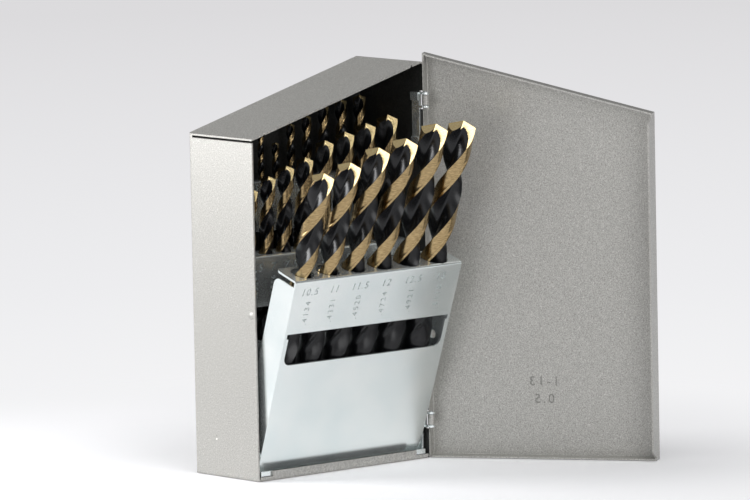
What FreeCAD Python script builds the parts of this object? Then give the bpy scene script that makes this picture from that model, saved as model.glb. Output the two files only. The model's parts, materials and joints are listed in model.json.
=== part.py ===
import FreeCAD, Part
import math
import os

# Drill bit case: a folded steel pan, a lid on two pin hinges and three folding racks of twist drills.
# +X runs along the open front towards the hinges, +Y to the back, +Z up, origin under the middle of the case.
# Millimetres and degrees. The lid and the racks are built shut and upright and then turned to rest.

overrun = 2.0

# What repeats often is many-sided instead of round
hole_sides = 14
guide_sides = 8
eye_sides = 16
rivet_sides = 8
shank_sides = 10

# Case: one sheet folded into a pan that is open to the front, with a sloping roof
case_width = 106.0
case_depth = 45.5
case_short_side = 159.2
case_tall_side = 187.6
case_sheet = 0.8
case_bend = 1.8
seam_gap = 1.1
seam_stop = 3.0
lip_slit = 0.6
lip_low = 2.2
lip_high = 4.6
lip_step = 8.8
roof_notch_width = 1.2
roof_notch_depth = 0.7
roof_notch_place = 7.0
dimple_width = 2.6
dimple_depth = 0.35
dimple_from_front = 29.6
dimple_height = 18.4

# Latch: a bump on the short side that snaps into a dent in the lid
latch_width = 4.0
latch_rise = 0.5
latch_from_front = 2.8
latch_height = 77.3

# Lid: a shallow tray, a little wider than the case at both sides
lid_sheet = 0.8
lid_depth = 9.0
lid_bend = 1.3
lid_reach = 1.6
lid_bottom_gap = 0.3
lid_rise_at_hinge = 3.2
lid_rise_at_latch = 4.0
lid_edge_gap = 0.8
lid_hinge_gap = 2.3
lid_flap_overlap = 5.5
lid_flap_cut = 3.6
lid_open_angle = 125.0

# Hinges: a short pin in two eyes of a zinc clip, with a curl of the lid between them
pin_radius = 0.8
pin_clearance = 0.06
pin_past_eye = 0.4
hinge_notch_depth = 2.2
hinge_out = 0.2
hinge_ahead = 0.6
curl_wall = 0.8
curl_height = 4.6
curl_side_gap = 0.35
curl_swing_gap = 0.3
eye_thickness = 1.0
eye_wall = 0.9
clip_sheet = 0.9
clip_width = 5.2
clip_from_front = 1.7
clip_fold_height = 4.0
clip_height = 25.0
upper_clip_drop = 40.0
lower_clip_base = 14.6

# Rack base: a zinc plate on the floor with a cheek at each side and two tabs behind the lip
base_sheet = 1.0
base_side_gap = 1.0
base_end_gap = 1.6
tab_width = 6.9
tab_gap = 0.15
cheek_front = 2.6
cheek_back = 3.0
cheek_rim = 3.0
cheek_ramp = 15.0
cheek_height = 27.0
cheek_corner = 2.5

# Rivets
rivet_radius = 1.3
rivet_head_radius = 2.3
rivet_head_height = 0.7
rivet_foot_radius = 2.0
rivet_foot_height = 0.4
rivet_clearance = 0.05
rivet_from_side = 5.2
rivet_from_middle = 6.5
leg_rivet_low = 8.0
leg_rivet_pitch = 10.0

# Racks: one zinc sheet each, with a holed flange, side flaps and a slot whose metal is bent in as a guide
rack_sheet = 0.9
rack_bend = 1.2
rack_side_gap = 1.3
rack_taper = 1.2
rack_low_edge = 4.0
rack_pivot_depth = 3.5
rack_pivot_height = 9.1
rod_radius = 1.5
rod_clearance = 0.08
rod_end_gap = 0.3
flange_corner = 3.0
flap_slit = 0.7
flap_top_drop = 3.3
flap_corner = 3.6
slot_height = 15.5
slot_corner = 4.0
slot_side_gap = 2.8
slot_shoulder = 2.0
guide_side_gap = 0.4
guide_bend = 0.8
hole_clearance = 0.3
guide_clearance = 0.35
floor_sheet = 0.9
floor_side_gap = 0.6
floor_leg = 7.4
floor_back_gap = 0.8
sight_hole_radius = 2.0
sight_hole_height = 56.1
sight_hole_depth = 7.4

front_rack_from_front = 3.0
front_rack_height = 96.3
front_flange_depth = 15.2
front_hole_axis = 7.6
front_slot_drop = 27.2
front_floor_height = 13.5
front_tilt = 19.1
front_first_size = 10.5
front_last_size = 13.0

middle_rack_from_front = 19.0
middle_rack_height = 98.6
middle_flange_depth = 12.0
middle_hole_axis = 6.1
middle_slot_drop = 24.2
middle_floor_height = 27.6
middle_tilt = 5.0
middle_first_size = 6.5
middle_last_size = 10.0

back_rack_from_front = 32.5
back_rack_top = 135.2
back_rack_base_gap = 0.3
back_flange_depth = 8.8
back_hole_axis = 4.3
back_slot_drop = 24.2
back_floor_low = 76.7
back_floor_middle = 88.2
back_floor_high = 97.2
back_high_holes = 3
back_middle_holes = 2
back_first_size = 1.0
back_last_size = 6.0

# Twist drills: the sizes run in equal steps, each length a share of the longest, each flute of its own length
size_step = 0.5
front_hole_gap = 4.3
middle_hole_gap = 3.5
back_hole_gap = 5.7
longest_drill = 152.0
length_shares = (
    0.270, 0.316, 0.336, 0.395, 0.461, 0.493, 0.546, 0.566, 0.592, 0.605, 0.612, 0.671, 0.704,
    0.730, 0.750, 0.796, 0.816, 0.836, 0.855, 0.875, 0.901, 0.941, 0.961, 1.0, 1.0,
)
flute_shares = (
    0.415, 0.458, 0.490, 0.583, 0.586, 0.613, 0.651, 0.651, 0.667, 0.674, 0.688, 0.686, 0.682,
    0.703, 0.711, 0.719, 0.718, 0.724, 0.731, 0.737, 0.737, 0.741, 0.753, 0.750, 0.750,
)
helix_angle = 30.5
fine_helix_angle = 19.0
point_angle = 118.0
lip_direction = 20.0
steps_per_turn = 6
fine_drill_limit = 6.5
# Half of the flute section: degrees behind the cutting lip, share of the radius
wide_section_shares = ((0.0, 1.0), (55.0, 0.97), (92.0, 0.42), (142.0, 0.3))
fine_section_shares = ((0.0, 1.0), (60.0, 0.97), (120.0, 0.36))

# Places worked out from the sizes above
side = case_width / 2
front = -case_depth / 2
back = case_depth / 2
floor_top = case_sheet
roof_slope = (case_tall_side - case_short_side) / case_width
upper_clip_base = case_tall_side - upper_clip_drop
pin_x = side + hinge_out
pin_y = front - hinge_ahead
eye_radius = pin_radius + pin_clearance + eye_wall
curl_radius = pin_radius + pin_clearance + curl_wall
lid_left = -side - lid_reach
lid_right = pin_x + curl_radius
lid_short_side = case_short_side + lid_rise_at_latch
lid_tall_side = case_tall_side + lid_rise_at_hinge
lid_slope = (lid_tall_side - lid_short_side) / (lid_right - lid_left)
cheek_outer = side - case_sheet - base_side_gap
cheek_inner = cheek_outer - base_sheet
base_top = floor_top + base_sheet
rack_half_width = side - case_sheet - rack_side_gap
rivet_hole = rivet_radius + rivet_clearance


def block(x0, x1, y0, y1, z0, z1):
    corner = FreeCAD.Vector(x0, y0, z0)
    return Part.makeBox(x1 - x0, y1 - y0, z1 - z0, corner)


def prism(corners, direction):
    wire = Part.makePolygon(corners + [corners[0]])
    return Part.Face(wire).extrude(direction)


def prism_along_y(points, y0, y1):
    corners = [FreeCAD.Vector(x, y0, z) for x, z in points]
    return prism(corners, FreeCAD.Vector(0, y1 - y0, 0))


def prism_along_x(points, x0, x1):
    corners = [FreeCAD.Vector(x0, y, z) for y, z in points]
    return prism(corners, FreeCAD.Vector(x1 - x0, 0, 0))


def rod_along_x(radius, x0, x1, y, z):
    return Part.makeCylinder(radius, x1 - x0, FreeCAD.Vector(x0, y, z), FreeCAD.Vector(1, 0, 0))


def rod_along_z(radius, z0, z1, x, y):
    return Part.makeCylinder(radius, z1 - z0, FreeCAD.Vector(x, y, z0))


def ring_of_corners(radius, sides):
    """Corners of a regular figure, as pairs, at the given radius."""
    step = 2 * math.pi / sides
    return [(radius * math.cos(step * (i + 0.5)), radius * math.sin(step * (i + 0.5))) for i in range(sides)]


def peg_along_z(radius, sides, z0, z1, x, y):
    corners = [FreeCAD.Vector(x + a, y + b, z0) for a, b in ring_of_corners(radius, sides)]
    return prism(corners, FreeCAD.Vector(0, 0, z1 - z0))


def peg_along_x(radius, sides, x0, x1, y, z):
    corners = [FreeCAD.Vector(x0, y + a, z + b) for a, b in ring_of_corners(radius, sides)]
    return prism(corners, FreeCAD.Vector(x1 - x0, 0, 0))


def hole_along_z(radius, sides, z0, z1, x, y):
    """A many-sided cutter that just holds the round one."""
    return peg_along_z(radius / math.cos(math.pi / sides), sides, z0, z1, x, y)


def hole_along_x(radius, sides, x0, x1, y, z):
    return peg_along_x(radius / math.cos(math.pi / sides), sides, x0, x1, y, z)


def edges_where(shape, test):
    """Straight edges of a shape whose middle point and direction pass the test."""
    found = []
    for edge in shape.Edges:
        start = edge.Vertexes[0].Point
        end = edge.Vertexes[-1].Point
        along = end - start
        if along.Length > 0 and test((start + end) * 0.5, along.normalize()):
            found.append(edge)
    return found


def rounded(shape, radius, test):
    return shape.makeFillet(radius, edges_where(shape, test))


def turned(shape, point, axis, angle):
    copy = shape.copy()
    copy.rotate(point, axis, angle)
    return copy


def cap_sphere_radius(width, rise):
    return ((width / 2) ** 2 + rise ** 2) / (2 * rise)


# Case

def case_roof(x):
    return case_short_side + roof_slope * (x + side)


def case_body(inset, bend, y0, y1):
    """The solid outline of the case, drawn in by one sheet for the inside."""
    drop = inset * math.hypot(1, roof_slope)
    half = side - inset
    outline = [(-half, inset), (half, inset), (half, case_roof(half) - drop), (-half, case_roof(-half) - drop)]
    body = prism_along_y(outline, y0, y1)

    def bent(middle, along):
        runs_back = abs(along.y) > 0.5
        left_seam = middle.x < 0 and middle.z > case_short_side / 2
        round_back = middle.y > y1 - case_sheet and abs(along.z) > 0.5 and inset == 0
        return round_back or (runs_back and not left_seam)
    return rounded(body, bend, bent)


def lip(height, half):
    """The floor's front edge turned up with a round bend, as high as given."""
    inner = case_bend - case_sheet
    start = FreeCAD.Vector(-half, front + case_bend, 0)
    centre_y = front + case_bend
    centre_z = case_bend
    turn = math.sqrt(0.5)
    outer_mid = FreeCAD.Vector(-half, centre_y - case_bend * turn, centre_z - case_bend * turn)
    inner_mid = FreeCAD.Vector(-half, centre_y - inner * turn, centre_z - inner * turn)
    low_front = FreeCAD.Vector(-half, front, centre_z)
    high_front = FreeCAD.Vector(-half, front, height)
    high_back = FreeCAD.Vector(-half, front + case_sheet, height)
    low_back = FreeCAD.Vector(-half, front + case_sheet, centre_z)
    end = FreeCAD.Vector(-half, centre_y, floor_top)
    edges = [
        Part.Arc(start, outer_mid, low_front).toShape(),
        Part.makeLine(low_front, high_front),
        Part.makeLine(high_front, high_back),
        Part.makeLine(high_back, low_back),
        Part.Arc(low_back, inner_mid, end).toShape(),
        Part.makeLine(end, start),
    ]
    return Part.Face(Part.Wire(edges)).extrude(FreeCAD.Vector(2 * half, 0, 0))


def seam_cut():
    """The open seam between the roof and the short side."""
    sheet_drop = case_sheet * math.hypot(1, roof_slope)
    outer = -side - overrun
    inner = -side + case_sheet
    top_outer = case_roof(outer) - sheet_drop
    top_inner = case_roof(inner) - sheet_drop
    points = [(outer, top_outer - seam_gap), (inner, top_inner - seam_gap), (inner, top_inner), (outer, top_outer)]
    return prism_along_y(points, front - overrun, back - seam_stop)


def roof_notches():
    """Small steps in the roof's front edge beside the two sides."""
    cuts = []
    for place in (-side + roof_notch_place, side - roof_notch_place - roof_notch_width):
        low = case_roof(place) - case_sheet - overrun
        cuts.append(block(place, place + roof_notch_width, front - overrun, front + roof_notch_depth,
                          low, low + 2 * overrun + case_sheet))
    return cuts


def hinge_heights(base, curl_at_top):
    """Heights of the lid's curl and of the lower and upper eye for one hinge."""
    if curl_at_top:
        curl_top = base + clip_height - eye_thickness - curl_side_gap
        curl_base = curl_top - curl_height
    else:
        curl_base = base + eye_thickness + curl_side_gap
        curl_top = curl_base + curl_height
    low_eye = curl_base - curl_side_gap - eye_thickness
    high_eye = curl_top + curl_side_gap
    return curl_base, curl_top, low_eye, high_eye


def hinges():
    return ((upper_clip_base, True), (lower_clip_base, False))


def hinge_notches():
    """What the tall side's front edge leaves free for the pins, the eyes and the lid's curls."""
    notches = []
    for base, curl_at_top in hinges():
        curl_base, curl_top, low_eye, high_eye = hinge_heights(base, curl_at_top)
        spare = pin_past_eye + curl_side_gap
        notches.append(block(side - case_bend, side + overrun, front - overrun, front + hinge_notch_depth,
                             low_eye - spare, high_eye + eye_thickness + spare))
    return notches


def latch_bump():
    radius = cap_sphere_radius(latch_width, latch_rise)
    centre = FreeCAD.Vector(radius - latch_rise - side, front + latch_from_front, latch_height)
    ball = Part.makeSphere(radius, centre)
    slab = block(-side - overrun, case_sheet / 2 - side, front, front + 2 * latch_from_front,
                 centre.z - latch_width, centre.z + latch_width)
    return ball.common(slab)


def wall_dimple():
    radius = cap_sphere_radius(dimple_width, dimple_depth)
    centre = FreeCAD.Vector(dimple_depth - side - radius, front + dimple_from_front, dimple_height)
    return Part.makeSphere(radius, centre)


def case_shell():
    shell = case_body(0, case_bend, front, back)
    shell = shell.cut(case_body(case_sheet, case_bend - case_sheet, front - overrun, back - case_sheet))
    half = side - case_sheet
    shell = shell.cut(block(-half, half, front - overrun, front + case_bend, -overrun, floor_top))
    shell = shell.fuse(lip(lip_low, half - lip_slit)).fuse(lip(lip_high, side - lip_step))
    for cut in [seam_cut()] + roof_notches() + hinge_notches():
        shell = shell.cut(cut)
    for place in base_rivet_places():
        shell = shell.cut(hole_along_z(rivet_hole, rivet_sides, -overrun, floor_top + overrun, *place))
        shell = shell.cut(peg_along_z(rivet_foot_radius, rivet_sides, -overrun, rivet_foot_height, *place))
    return shell.fuse(latch_bump()).cut(wall_dimple()).removeSplitter()


# Lid, built shut

def lid_roof(x):
    return lid_short_side + lid_slope * (x - lid_left)


def lid_body(inset, bend, y0, y1):
    drop = inset * math.hypot(1, lid_slope)
    left = lid_left + inset
    right = lid_right - inset
    low = lid_bottom_gap + inset
    outline = [(left, low), (right, low), (right, lid_roof(right) - drop), (left, lid_roof(left) - drop)]
    body = prism_along_y(outline, y0, y1)

    def bent(middle, along):
        return middle.y < y0 + lid_sheet
    return rounded(body, bend, bent)


def lid_flap():
    """The free flange, longer than the others and cut on the slant at both ends."""
    start = front - lid_depth / 2
    edge = front - lid_edge_gap
    end = front + lid_flap_overlap
    low = lid_bottom_gap + lid_bend
    top = lid_roof(lid_left) - lid_bend
    points = [(start, low), (edge, low), (end, low + lid_flap_cut), (end, top - lid_flap_cut), (edge, top),
              (start, top)]
    return prism_along_x(points, lid_left, lid_left + lid_sheet)


def lid_latch_dent():
    radius = cap_sphere_radius(latch_width, latch_rise)
    inner = lid_left + lid_sheet
    depth = latch_rise / 2
    centre = FreeCAD.Vector(inner - depth + radius, front + latch_from_front, latch_height)
    return Part.makeSphere(radius, centre)


def lid_curl(curl_base, curl_top):
    """A tab of the hinge side's flange curled round the pin."""
    barrel = rod_along_z(curl_radius, curl_base, curl_top, pin_x, pin_y)
    bore = rod_along_z(pin_radius + pin_clearance, curl_base - overrun, curl_top + overrun, pin_x, pin_y)
    web = block(lid_right - lid_sheet, lid_right, front - lid_depth / 2, pin_y, curl_base, curl_top)
    return barrel.fuse(web).cut(bore)


def lid_shell():
    shell = lid_body(0, lid_bend, front - lid_depth, front - lid_edge_gap)
    inner = lid_body(lid_sheet, lid_bend - lid_sheet, front - lid_depth + lid_sheet, front + overrun)
    shell = shell.cut(inner)
    trim = block(side, lid_right + overrun, front - lid_hinge_gap, front + overrun,
                 -overrun, lid_tall_side + overrun)
    shell = shell.cut(trim).fuse(lid_flap())
    for base, curl_at_top in hinges():
        curl_base, curl_top, low_eye, high_eye = hinge_heights(base, curl_at_top)
        for eye in (low_eye, high_eye):
            shell = shell.cut(rod_along_z(eye_radius + curl_swing_gap, eye - curl_side_gap,
                                          eye + eye_thickness + curl_side_gap, pin_x, pin_y))
        shell = shell.fuse(lid_curl(curl_base, curl_top))
        shell = shell.cut(rod_along_z(pin_radius + pin_clearance, curl_base, curl_top, pin_x, pin_y))
    shell = shell.cut(lid_latch_dent()).removeSplitter()
    return turned(shell, FreeCAD.Vector(pin_x, pin_y, 0), FreeCAD.Vector(0, 0, 1), lid_open_angle)


# Hinges

def hinge_clip(base, curl_at_top):
    """A strap inside the tall side with folded ends and two eyes that reach out to the pin."""
    wall = side - case_sheet
    inner = wall - clip_sheet
    y0 = front + clip_from_front
    y1 = y0 + clip_width
    top = base + clip_height
    clip = block(inner, wall, y0, y1, base, top)
    for low in (base, top - clip_fold_height):
        clip = clip.fuse(block(inner - clip_sheet, inner, y0, y1, low, low + clip_fold_height))
    curl_base, curl_top, low_eye, high_eye = hinge_heights(base, curl_at_top)
    for eye in (low_eye, high_eye):
        root = block(inner, wall, pin_y, y0 + clip_sheet, eye, eye + eye_thickness)
        arm = block(wall, pin_x, pin_y, front + hinge_notch_depth - curl_swing_gap, eye, eye + eye_thickness)
        ring = peg_along_z(eye_radius, eye_sides, eye, eye + eye_thickness, pin_x, pin_y)
        hole = rod_along_z(pin_radius + pin_clearance, eye, eye + eye_thickness, pin_x, pin_y)
        clip = clip.fuse(root).fuse(arm).fuse(ring).cut(hole)
    return clip.removeSplitter()


def hinge_pin(base, curl_at_top):
    curl_base, curl_top, low_eye, high_eye = hinge_heights(base, curl_at_top)
    return rod_along_z(pin_radius, low_eye - pin_past_eye, high_eye + eye_thickness + pin_past_eye, pin_x, pin_y)


# Rack base and rivets

def base_rivet_places():
    x = side - rivet_from_side
    y = rivet_from_middle
    return [(-x, -y), (-x, y), (x, -y), (x, y)]


def leg_rivet_places():
    y = front + back_rack_from_front + back_flange_depth / 2
    return [(y, base_top + leg_rivet_low), (y, base_top + leg_rivet_low + leg_rivet_pitch)]


def cheek(x0, x1):
    y0 = front + cheek_front
    y1 = back - case_sheet - cheek_back
    middle_y = front + middle_rack_from_front + rack_pivot_depth
    low = rack_pivot_height + rod_radius + cheek_rim
    high = floor_top + cheek_height
    points = [(y0, floor_top), (y1, floor_top), (y1, high), (middle_y + cheek_ramp / 2, high),
              (middle_y - cheek_ramp / 2, low), (y0, low)]
    plate = prism_along_x(points, x0, x1)

    def corner(middle, along):
        return abs(along.x) > 0.5 and middle.z > base_top
    return rounded(plate, cheek_corner, corner)


def base_tab(x0):
    """A tongue of the base's front edge bent up behind the lip, with a round bend."""
    y0 = front + case_sheet + tab_gap
    foot = block(x0, x0 + tab_width, y0, y0 + 2 * case_bend, floor_top, base_top)
    tab = foot.fuse(block(x0, x0 + tab_width, y0, y0 + base_sheet, floor_top, lip_high)).removeSplitter()

    def front_bend(middle, along):
        return abs(along.x) > 0.5 and middle.y < y0 + base_sheet / 2 and middle.z < base_top
    return rounded(tab, case_bend - case_sheet, front_bend)


def rack_base():
    y0 = front + case_bend + tab_gap
    y1 = back - case_sheet - base_end_gap
    shape = block(-cheek_outer, cheek_outer, y0, y1, floor_top, base_top)
    for x0 in (-cheek_outer, cheek_inner):
        shape = shape.fuse(cheek(x0, x0 + base_sheet))
    for x0 in (lip_slit - cheek_outer, cheek_outer - lip_slit - tab_width):
        shape = shape.fuse(base_tab(x0))
    for from_front in (front_rack_from_front, middle_rack_from_front):
        y = front + from_front + rack_pivot_depth
        shape = shape.cut(hole_along_x(rod_radius + rod_clearance, hole_sides, -side, side, y, rack_pivot_height))
    for x, y in base_rivet_places():
        shape = shape.cut(hole_along_z(rivet_hole, rivet_sides, 0, base_top + overrun, x, y))
    for y, z in leg_rivet_places():
        shape = shape.cut(hole_along_x(rivet_hole, rivet_sides, -side, side, y, z))
    return shape.removeSplitter()


def base_rivets():
    """Rivets whose foot lies flush in the floor and whose head lies on the base."""
    rivets = []
    for x, y in base_rivet_places():
        top = base_top + rivet_head_height
        foot = peg_along_z(rivet_foot_radius - rivet_clearance, rivet_sides, 0, rivet_foot_height, x, y)
        shank = peg_along_z(rivet_radius, rivet_sides, 0, top, x, y)
        head = peg_along_z(rivet_head_radius, rivet_sides, base_top, top, x, y)
        rivets.append(shank.fuse(foot).fuse(head).removeSplitter())
    return Part.makeCompound(rivets)


def rack_rivets():
    rivets = []
    for y, z in leg_rivet_places():
        for hand in (-1, 1):
            inner = hand * (cheek_inner - rack_sheet)
            outer = hand * cheek_outer
            tip = inner - hand * rivet_head_height
            end = outer + hand * rivet_head_height
            shank = peg_along_x(rivet_radius, rivet_sides, tip, end, y, z)
            head = peg_along_x(rivet_head_radius, rivet_sides, tip, inner, y, z)
            tail = peg_along_x(rivet_head_radius, rivet_sides, outer, end, y, z)
            rivets.append(shank.fuse(head).fuse(tail).removeSplitter())
    return Part.makeCompound(rivets)


def pivot_rod(from_front):
    reach = side - case_sheet - rod_end_gap
    return rod_along_x(rod_radius, -reach, reach, front + from_front + rack_pivot_depth, rack_pivot_height)


# Racks, built upright

def sizes_between(first, last):
    count = round((last - first) / size_step) + 1
    return [first + size_step * i for i in range(count)]


def row_place(size):
    """Which drill of the whole row this is, counted from nought."""
    return round((size - back_first_size) / size_step)


def hole_places(first, last, gap):
    """Middle of each hole along the rack, so that equal gaps lie between the drills."""
    sizes = sizes_between(first, last)
    span = sum(sizes) + gap * (len(sizes) - 1)
    places = []
    edge = -span / 2
    for size in sizes:
        places.append((size, edge + size / 2))
        edge += size + gap
    return places


def rack_angle(height, half, flange_depth):
    """Plate and top flange, one sheet bent along the front edge."""
    points = [(0, 0), (rack_sheet, 0), (rack_sheet, height - rack_sheet), (flange_depth, height - rack_sheet),
              (flange_depth, height), (0, height)]
    sheet = prism_along_x(points, -half, half)

    def front_bend(middle, along):
        return abs(along.x) > 0.5 and middle.y < rack_sheet / 2 and middle.z > height / 2

    def rear_corner(middle, along):
        return abs(along.z) > 0.5 and middle.y > flange_depth / 2
    return rounded(rounded(sheet, rack_bend, front_bend), flange_corner, rear_corner)


def taper_cut(height, half, taper, hand):
    """What the plate loses at one side as it narrows downwards."""
    outer = hand * (half + overrun)
    points = [(hand * half, height - rack_sheet), (hand * (half - taper), 0), (outer, 0),
              (outer, height - rack_sheet)]
    return prism_along_y(points, -overrun, rack_sheet + overrun)


def side_flap(flange_depth, height, half, taper, hand):
    """One side of the rack, rounded at the top, leaning in with the plate's edge."""
    deep = flange_depth - flap_slit
    top = height - flap_top_drop
    points = [(0, 0), (deep, 0), (deep, top), (0, top)]
    profile = prism_along_x(points, -half, half)

    def top_corner(middle, along):
        return abs(along.x) > 0.5 and middle.y > deep / 2 and middle.z > top - rack_sheet
    profile = rounded(profile, flap_corner, top_corner)
    low = hand * (half - taper)
    high = hand * half
    wall = hand * rack_sheet
    strip = [(low, 0), (high, height - rack_sheet), (high - wall, height - rack_sheet), (low - wall, 0)]
    return prism_along_y(strip, 0, flange_depth).common(profile)


def rack_slot(top, half, guide_half):
    """The slot that the guide was bent out of, rounded below and wider above."""
    slot = block(-half, half, -overrun, rack_sheet, top - slot_height, top)

    def low_corner(middle, along):
        return abs(along.y) > 0.5 and middle.z < top - slot_height / 2
    shoulder = block(-guide_half, guide_half, -overrun, rack_sheet, top - slot_shoulder, top)
    return rounded(slot, slot_corner, low_corner).fuse(shoulder)


def rack_guide(low, half, depth):
    """The slot's metal bent in, a shelf that holds the drills half way down."""
    shelf = block(-half, half, 0, depth, low, low + rack_sheet)

    def front_edge(middle, along):
        return abs(along.x) > 0.5 and middle.y < depth / 2 and middle.z < low + rack_sheet / 2
    return shelf, rounded(shelf, guide_bend, front_edge)


def rack_body(height, half, taper, flange_depth, slot_drop, hole_axis, holes):
    slot_top = height - slot_drop
    rack = rack_angle(height, half, flange_depth)
    for hand in (-1, 1):
        if taper > 0:
            rack = rack.cut(taper_cut(height, half, taper, hand))
        rack = rack.fuse(side_flap(flange_depth, height, half, taper, hand))
    guide_half = half - taper * slot_drop / height - rack_sheet - guide_side_gap
    square_shelf, shelf = rack_guide(slot_top, guide_half, flange_depth)
    rack = rack.cut(rack_slot(slot_top, half - slot_side_gap, guide_half)).cut(square_shelf).fuse(shelf)
    for size, x in holes:
        flange_hole = size / 2 + hole_clearance
        guide_hole = size / 2 + guide_clearance
        for radius, sides, z in ((flange_hole, hole_sides, height), (guide_hole, guide_sides, slot_top)):
            rack = rack.cut(hole_along_z(radius, sides, z - overrun, z + overrun, x, hole_axis))
    return rack


def rack_floor(half, depth, height):
    """An angle strip behind the plate on which the drills stand."""
    y0 = rack_sheet
    tread = block(-half, half, y0, depth - floor_back_gap, height - floor_sheet, height)
    leg = block(-half, half, y0, y0 + floor_sheet, height - floor_leg, height)
    return tread.fuse(leg).removeSplitter()


def placed_rack(shape, from_front, tilt):
    """Moves a rack to its place in the case and tilts it forward about its rod."""
    low = rack_pivot_height - rack_low_edge
    shape.translate(FreeCAD.Vector(0, front + from_front, low))
    pivot = FreeCAD.Vector(0, front + from_front + rack_pivot_depth, rack_pivot_height)
    return turned(shape, pivot, FreeCAD.Vector(1, 0, 0), tilt)


def tilting_rack(height, flange_depth, slot_drop, hole_axis, holes, sight_hole):
    rack = rack_body(height, rack_half_width, rack_taper, flange_depth, slot_drop, hole_axis, holes)
    rack = rack.cut(rod_along_x(rod_radius + rod_clearance, -side, side, rack_pivot_depth, rack_low_edge))
    if sight_hole:
        rack = rack.cut(hole_along_x(sight_hole_radius, hole_sides, 0, side, sight_hole_depth, sight_hole_height))
    return rack.removeSplitter()


def tilting_parts(name, holes, height, flange_depth, slot_drop, hole_axis, floor_height, sight_hole):
    """A rack, its floor and its drills, all still upright at the origin."""
    floor_half = rack_half_width - rack_taper - rack_sheet - floor_side_gap
    parts = {
        name: tilting_rack(height, flange_depth, slot_drop, hole_axis, holes, sight_hole),
        name + "_floor": rack_floor(floor_half, flange_depth, floor_height),
    }
    for size, x in holes:
        parts[drill_node(size)] = drill(size, x, hole_axis, floor_height)
    return parts


def front_parts():
    holes = hole_places(front_first_size, front_last_size, front_hole_gap)
    parts = tilting_parts("front_rack", holes, front_rack_height, front_flange_depth, front_slot_drop,
                          front_hole_axis, front_floor_height, True)
    return {node: placed_rack(shape, front_rack_from_front, front_tilt) for node, shape in parts.items()}


def middle_parts():
    holes = hole_places(middle_first_size, middle_last_size, middle_hole_gap)
    parts = tilting_parts("middle_rack", holes, middle_rack_height, middle_flange_depth, middle_slot_drop,
                          middle_hole_axis, middle_floor_height, False)
    return {node: placed_rack(shape, middle_rack_from_front, middle_tilt) for node, shape in parts.items()}


# Back rack: fixed between the cheeks, with a stepped floor that lifts the small drills

def edge_after(holes, count):
    """Half way between the hole with this count and the next one."""
    size, x = holes[count - 1]
    next_size, next_x = holes[count]
    return (x + size / 2 + next_x - next_size / 2) / 2


def back_floor(high_edge, middle_edge):
    half = cheek_inner - rack_sheet - floor_side_gap
    y0 = front + back_rack_from_front + rack_sheet
    y1 = front + back_rack_from_front + back_flange_depth
    upper = [(-half, back_floor_high), (high_edge, back_floor_high), (high_edge, back_floor_middle),
             (middle_edge, back_floor_middle), (middle_edge, back_floor_low), (half, back_floor_low)]
    inset = floor_sheet
    under = [(half, back_floor_low - inset), (middle_edge - inset, back_floor_low - inset),
             (middle_edge - inset, back_floor_middle - inset), (high_edge - inset, back_floor_middle - inset),
             (high_edge - inset, back_floor_high - inset), (-half, back_floor_high - inset)]
    return prism_along_y(upper + under, y0, y1)


def back_parts():
    holes = hole_places(back_first_size, back_last_size, back_hole_gap)
    low = base_top + back_rack_base_gap
    rack = rack_body(back_rack_top - low, cheek_inner, 0, back_flange_depth, back_slot_drop, back_hole_axis, holes)
    rack.translate(FreeCAD.Vector(0, front + back_rack_from_front, low))
    for y, z in leg_rivet_places():
        rack = rack.cut(hole_along_x(rivet_hole, rivet_sides, -side, side, y, z))
    high_edge = edge_after(holes, back_high_holes)
    middle_edge = edge_after(holes, back_high_holes + back_middle_holes)
    parts = {"back_rack": rack.removeSplitter(), "back_rack_floor": back_floor(high_edge, middle_edge)}
    for size, x in holes:
        stand = back_floor_high if x < high_edge else back_floor_middle if x < middle_edge else back_floor_low
        parts[drill_node(size)] = drill(size, x, front + back_rack_from_front + back_hole_axis, stand)
    return parts


# Twist drills

def drill_node(size):
    """The node's name, from the place in a row that starts at one and goes up by halves."""
    halves = 2 + row_place(size)
    return "drill_%02d_%d" % (halves // 2, 5 * (halves % 2))


def section_points(size, shares):
    """One whole section as turns behind the first lip and radii, both halves alike."""
    radius = size / 2
    half = [(turn, radius * share) for turn, share in shares]
    return half + [(turn + 180, r) for turn, r in half]


def ring(section, x, y, drop_of, lead):
    """Section points as far below the tip as the rule says, each turned back along the helix."""
    points = []
    for turn, radius in section:
        drop = drop_of(radius)
        angle = math.radians(lip_direction - turn - 360 * drop / lead)
        points.append(FreeCAD.Vector(x + radius * math.cos(angle), y + radius * math.sin(angle), -drop))
    return points


def flat_face(points):
    return Part.Face(Part.makePolygon(points + [points[0]]))


def fluted_body(size, flute_length, x, y):
    """Fluted length down from a tip at zero, in flat facets between turned sections, with a cone point."""
    fine = size < fine_drill_limit
    section = section_points(size, fine_section_shares if fine else wide_section_shares)
    angle = fine_helix_angle if fine else helix_angle
    lead = math.pi * size / math.tan(math.radians(angle))
    cone = 1 / math.tan(math.radians(point_angle / 2))
    shoulder = cone * size / 2
    body = flute_length - shoulder
    count = max(1, round(steps_per_turn * body / lead))
    rings = [ring(section, x, y, lambda r, i=i: flute_length - body * i / count, lead) for i in range(count)]
    rings.append(ring(section, x, y, lambda r: cone * r, lead))
    tip = FreeCAD.Vector(x, y, 0)
    faces = [flat_face(rings[0][::-1])]
    total = len(section)
    for low, high in zip(rings, rings[1:]):
        for i in range(total):
            j = (i + 1) % total
            faces.append(flat_face([low[i], low[j], high[j]]))
            faces.append(flat_face([low[i], high[j], high[i]]))
    for i in range(total):
        faces.append(flat_face([rings[-1][i], rings[-1][(i + 1) % total], tip]))
    shell = Part.makeShell(faces)
    shell.sewShape()
    solid = Part.makeSolid(shell)
    if solid.Volume < 0:
        solid.reverse()
    return solid


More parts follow.
